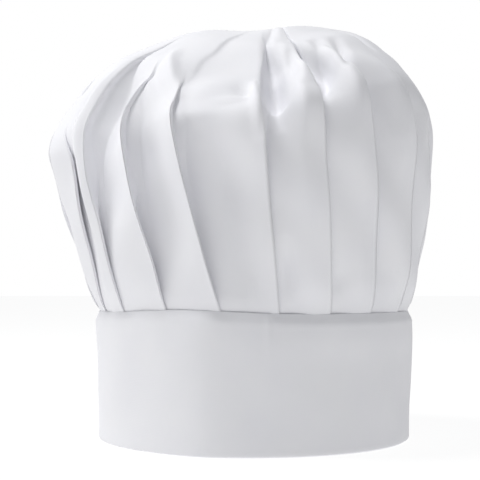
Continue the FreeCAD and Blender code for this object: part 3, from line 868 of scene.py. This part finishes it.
def pile(name, radius, start, end, foot, top, pitch, line, thick, seed, material):
    """Rows of small nylon filaments on a tape. line gives one filament's points as (along the tape, out)."""
    draw = np.random.default_rng(seed)
    points, faces, flat = [], [], []
    for row, height in enumerate(np.arange(foot + PILE_INSET, top - PILE_INSET, pitch)):
        shift = (row % 2) * pitch / 2
        for across in np.arange(PILE_INSET + shift, (end - start) * radius - PILE_INSET, pitch):
            angle = start + across / radius + draw.uniform(-0.0002, 0.0002) / radius
            turned = draw.uniform(-0.5, 0.5)
            out, ahead = on_ring(1.0, angle, 0.0), on_ring(1.0, angle + math.pi / 2, 0.0)
            ahead = ahead * math.cos(turned) + np.array([0, 0, math.sin(turned)])
            aside = np.cross(out, ahead)
            origin = on_ring(radius, angle, height + draw.uniform(-0.0002, 0.0002))
            base = len(points)
            for along, up in line:
                spot = origin + ahead * along + out * up
                for c in range(3):
                    v = math.tau * c / 3
                    points.append(spot + thick * (math.cos(v) * aside + math.sin(v) * (out + ahead) * 0.7))
                    flat.append((across, height))
            faces += grid_faces(len(line), 3, closed=True, first=base)
    return piece(name, points, faces, flat, material)


loop_start = back_angle(loop_high.x, BAND_RADIUS)
loop_end = back_angle(loop_low.x, BAND_RADIUS + 0.001)
loop_tape = tape("loop_tape", BAND_RADIUS + TAPE / 2 + AIR, loop_start, loop_end, loop_low.z, loop_high.z,
                 loop_nylon)
one_loop = [(0.0005 * math.cos(v), LOOP_HEIGHT * math.sin(v) - AIR) for v in np.linspace(0, math.pi, 6)]
loop_pile = pile("loop_pile", BAND_RADIUS + TAPE, loop_start, loop_end, loop_low.z, loop_high.z, LOOP_PITCH,
                 one_loop, thick=0.00011, seed=31, material=loop_nylon)
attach(loop_tape, "hat")
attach(loop_pile, "hat")
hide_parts("loop_strip")

HOOK_BACK = FLAP_OUTER - flap_thickness
hook_face = HOOK_BACK - TAPE
hook_end = back_angle(hook_low.x, HOOK_BACK)
hook_start = hook_end - HOOK_TAPE_WIDTH / HOOK_BACK
hook_tape = tape("hook_tape", HOOK_BACK - TAPE / 2 - AIR, hook_start, hook_end, hook_low.z, hook_high.z,
                 hook_nylon)
one_hook = [(0.0, AIR), (0.0, -0.6 * HOOK_HEIGHT), (0.0001, -0.9 * HOOK_HEIGHT), (0.0003, -HOOK_HEIGHT),
            (0.00045, -0.75 * HOOK_HEIGHT)]
hook_pile = pile("hook_pile", hook_face, hook_start, hook_end, hook_low.z, hook_high.z, HOOK_PITCH,
                 one_hook, thick=0.00010, seed=32, material=hook_nylon)
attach(hook_tape, "flap")
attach(hook_pile, "flap")
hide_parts("hook_strip")


def rectangle(start, end, foot, top, radius):
    """The corners of a rectangle of stitches that far inside a strip's edges, back to the first."""
    turn_in = STITCH_TO_EDGE / radius
    low, high = foot + STITCH_TO_EDGE, top - STITCH_TO_EDGE
    left, right = start + turn_in, end - turn_in
    return [(left, low), (right, low), (right, high), (left, high), (left, low)]


loop_corners = rectangle(loop_start, loop_end, loop_low.z, loop_high.z, BAND_RADIUS)
hook_corners = rectangle(hook_start, hook_end, hook_low.z, hook_high.z, HOOK_BACK)
sewn("loop_tape_stitches", row_on_ring(BAND_RADIUS + TAPE + 0.0002, loop_corners, 1)
     + row_on_ring(OPENING_RADIUS, loop_corners, -1), "loop_strip_thread", "hat")
sewn("hook_tape_stitches", row_on_ring(hook_face - 0.0002, hook_corners, -1)
     + row_on_ring(FLAP_OUTER, hook_corners, 1), "hook_strip_thread", "flap")

# ---------------------------------------------------------------- crown seam thread
# One row of lockstitches right round, which closes the band's turned-in edges on the crown. It shows on the
# inner ply.

seam_start, seam_end = -math.pi + half_gap + 0.03, math.pi - half_gap - 0.03
seam_low, seam_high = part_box("crown_seam_thread")
seam_level = (seam_low.z + seam_high.z) / 2
seam_spans = []
for i in range(int((seam_end - seam_start) * OPENING_RADIUS / STITCH_PITCH)):
    ends = []
    for along in (i * STITCH_PITCH, i * STITCH_PITCH + STITCH_LENGTH):
        angle = seam_start + along / OPENING_RADIUS
        height = seam_level + float(seam_wave(angle))
        ends.append(on_ring(OPENING_RADIUS + float(sway(angle)), angle, height))
    seam_spans.append((ends[0], ends[1], -on_ring(1.0, angle, 0.0)))
sewn("crown_seam_stitches", seam_spans, "crown_seam_thread", "hat")

# ---------------------------------------------------------------- care label
# A blank white satin label, 36 by 22 mm, with its ends sewn flat inside the band, near the closure.

LABEL = 0.0002                   # thickness
LABEL_WIDTH = 0.036
FLOAT_PITCH = 0.0005

label_low, label_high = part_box("care_label")
label_middle = math.atan2(label_low.x + label_high.x, -(label_low.y + label_high.y))
label_size = (LABEL_WIDTH, label_high.z - label_low.z)


def satin_label():
    """Woven polyester satin: very fine floats along the label, smooth, with a silky shine. Its darker colour
    between the floats is painted shade.
    """
    material = new_material("label_woven_satin")
    cut = add_node(material, "UVMap", {"uv_map": "cut"})
    floats = add_node(material, "TexWave", {"bands_direction": "Y"},
                      {"Scale": WAVE_PERIOD / FLOAT_PITCH, "Distortion": 0.3, "Detail": 1.0,
                       "Detail Scale": 0.3}, {"Vector": (cut, "UV")})
    return finish_cloth(material, (floats, "Fac"), ("#E9E9EE", "#FAFAFA"), (floats, "Fac"), (0.25, 0.0001),
                        {"Roughness": 0.36, "IOR": 1.5, "Anisotropic": 0.5, "Sheen Weight": 0.1})


label_points, label_flat = [], []
across_label = np.linspace(-0.5, 0.5, 49)
up_label = np.linspace(0.0, 1.0, 25)
for v in up_label:
    for u in across_label:
        held = smooth(4 * (0.5 - abs(u)) - 0.3)
        billow = 0.0006 * held * math.sin(math.pi * v) * (1 + 0.4 * math.sin(7 * u + 2))
        angle = label_middle + u * LABEL_WIDTH / OPENING_RADIUS
        label_points.append(on_ring(OPENING_RADIUS - LABEL - billow, angle, label_low.z + v * label_size[1]))
        label_flat.append((u * LABEL_WIDTH, v * label_size[1]))
label = piece("care_label_blank", label_points, grid_faces(len(up_label), len(across_label)), label_flat,
              satin_label())
apply(label, "SOLIDIFY", thickness=LABEL, offset=0.0)
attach(label, "hat")
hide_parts("care_label")

label_spans = []
for side in (-1, 1):
    angle = label_middle + side * (LABEL_WIDTH / 2 - STITCH_TO_EDGE) / OPENING_RADIUS
    column = [(angle, label_low.z + 0.0006), (angle, label_high.z - 0.0006)]
    label_spans += row_on_ring(OPENING_RADIUS - 1.5 * LABEL, column, -1)
sewn("label_stitches", label_spans, "label_thread", "hat")

# ---------------------------------------------------------------- floor and light
# A white studio floor lit from below, a soft light overhead to the left, and pale walls all round.

floor_mesh = bpy.data.meshes.new("floor")
floor_mesh.from_pydata([(-6, -6, 0), (6, -6, 0), (6, 6, 0), (-6, 6, 0)], [], [(0, 1, 2, 3)])
floor = bpy.data.objects.new("floor", floor_mesh)
floor.location.z = band_low.z
bpy.context.scene.collection.objects.link(floor)
floor_paint = new_material("floor_white_acrylic")
floor_shader = add_node(floor_paint, "BsdfPrincipled", None,
                        {"Base Color": linear("#707070"), "Roughness": 0.9, "Specular IOR Level": 0.1,
                         "Emission Color": linear("#FFFFFF"), "Emission Strength": 0.90})
add_node(floor_paint, "OutputMaterial", links={"Surface": (floor_shader, "BSDF")})
floor_mesh.materials.append(floor_paint)

world = bpy.data.worlds.new("studio")
bpy.context.scene.world = world
world.use_nodes = True
world.node_tree.nodes.clear()
seen = add_node(world, "Background", None, {"Color": linear("#FFFFFF"), "Strength": 1.0})
lit = add_node(world, "Background", None, {"Color": (0.96, 0.975, 1.0, 1.0), "Strength": 0.32})
path = add_node(world, "LightPath")
either = add_node(world, "MixShader",
                  links={"Fac": (path, "Is Camera Ray"), 1: (lit, "Background"), 2: (seen, "Background")})
add_node(world, "OutputWorld", links={"Surface": (either, "Shader")})


def soft_light(name, place, target, size, power):
    light_data = bpy.data.lights.new(name, "AREA")
    light_data.shape = "DISK"
    light_data.size = size
    light_data.energy = power
    light = bpy.data.objects.new(name, light_data)
    light.location = place
    light.rotation_euler = (Vector(target) - Vector(place)).to_track_quat("-Z", "Y").to_euler()
    bpy.context.scene.collection.objects.link(light)


middle = (0.0, 0.0, APEX_HEIGHT * 0.6)
soft_light("overhead", (-0.55, -0.05, 1.6), middle, 0.55, 16.0)
soft_light("left_wall", (-1.5, -0.1, 0.5), middle, 0.8, 4.0)

scene = bpy.context.scene
scene.view_settings.view_transform = "Standard"
scene.view_settings.look = "None"
scene.view_settings.exposure = 0.0
